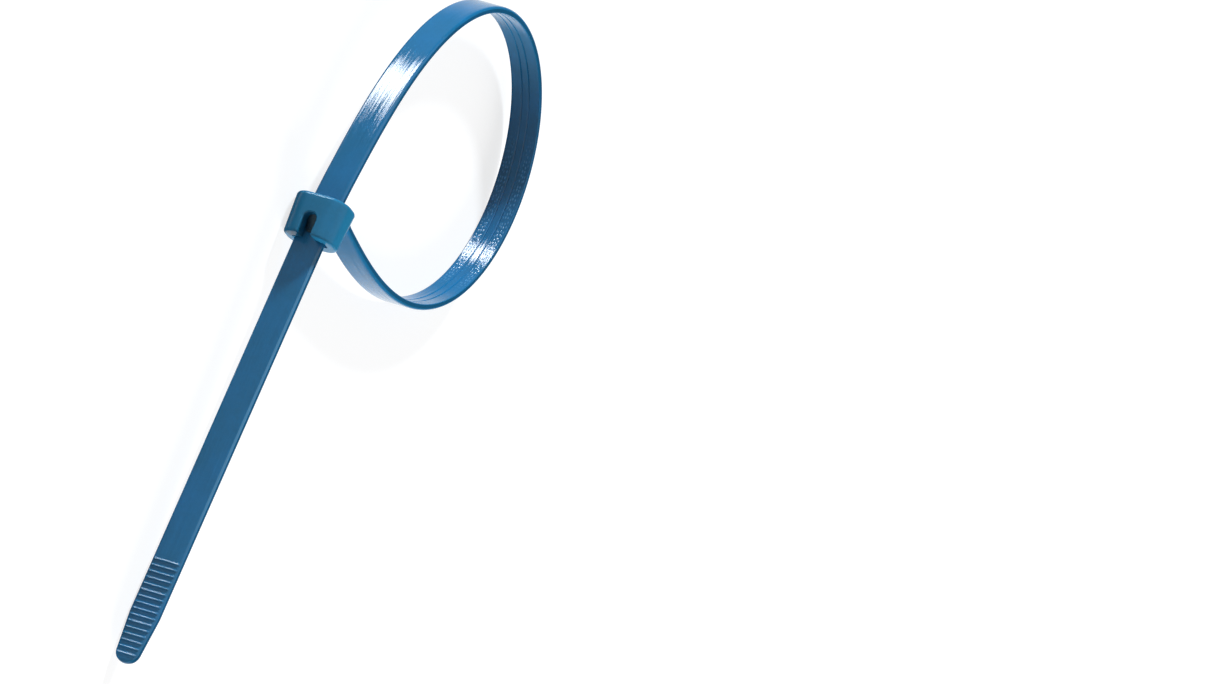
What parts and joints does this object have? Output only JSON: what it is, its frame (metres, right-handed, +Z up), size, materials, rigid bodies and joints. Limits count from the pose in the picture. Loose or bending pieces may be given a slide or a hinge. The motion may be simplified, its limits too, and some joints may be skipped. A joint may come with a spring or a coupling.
{
  "type": "cable tie",
  "caption": "Looped nylon cable tie with a short rounded head, a steel locking barb and a ribbed tail tip, lying on its side.",
  "frame": {"origin": "on the surface that the tie rests on, under the middle of its bounding box", "axes": "+X along the free tail towards its tip, nearly level; +Y from the front face of the head towards its back, where the strap leaves; +Z up, nearly along the width of the strap"},
  "size_m": [0.1162, 0.0542, 0.0086],
  "materials": {
    "nylon_blue": "satin moulded nylon with a fine grain",
    "barb_steel": "plain rolled stainless strip"
  },
  "bodies": {
    "root": {"tie_body": "nylon_blue", "locking_barb": "barb_steel"}
  },
  "joints": []
}
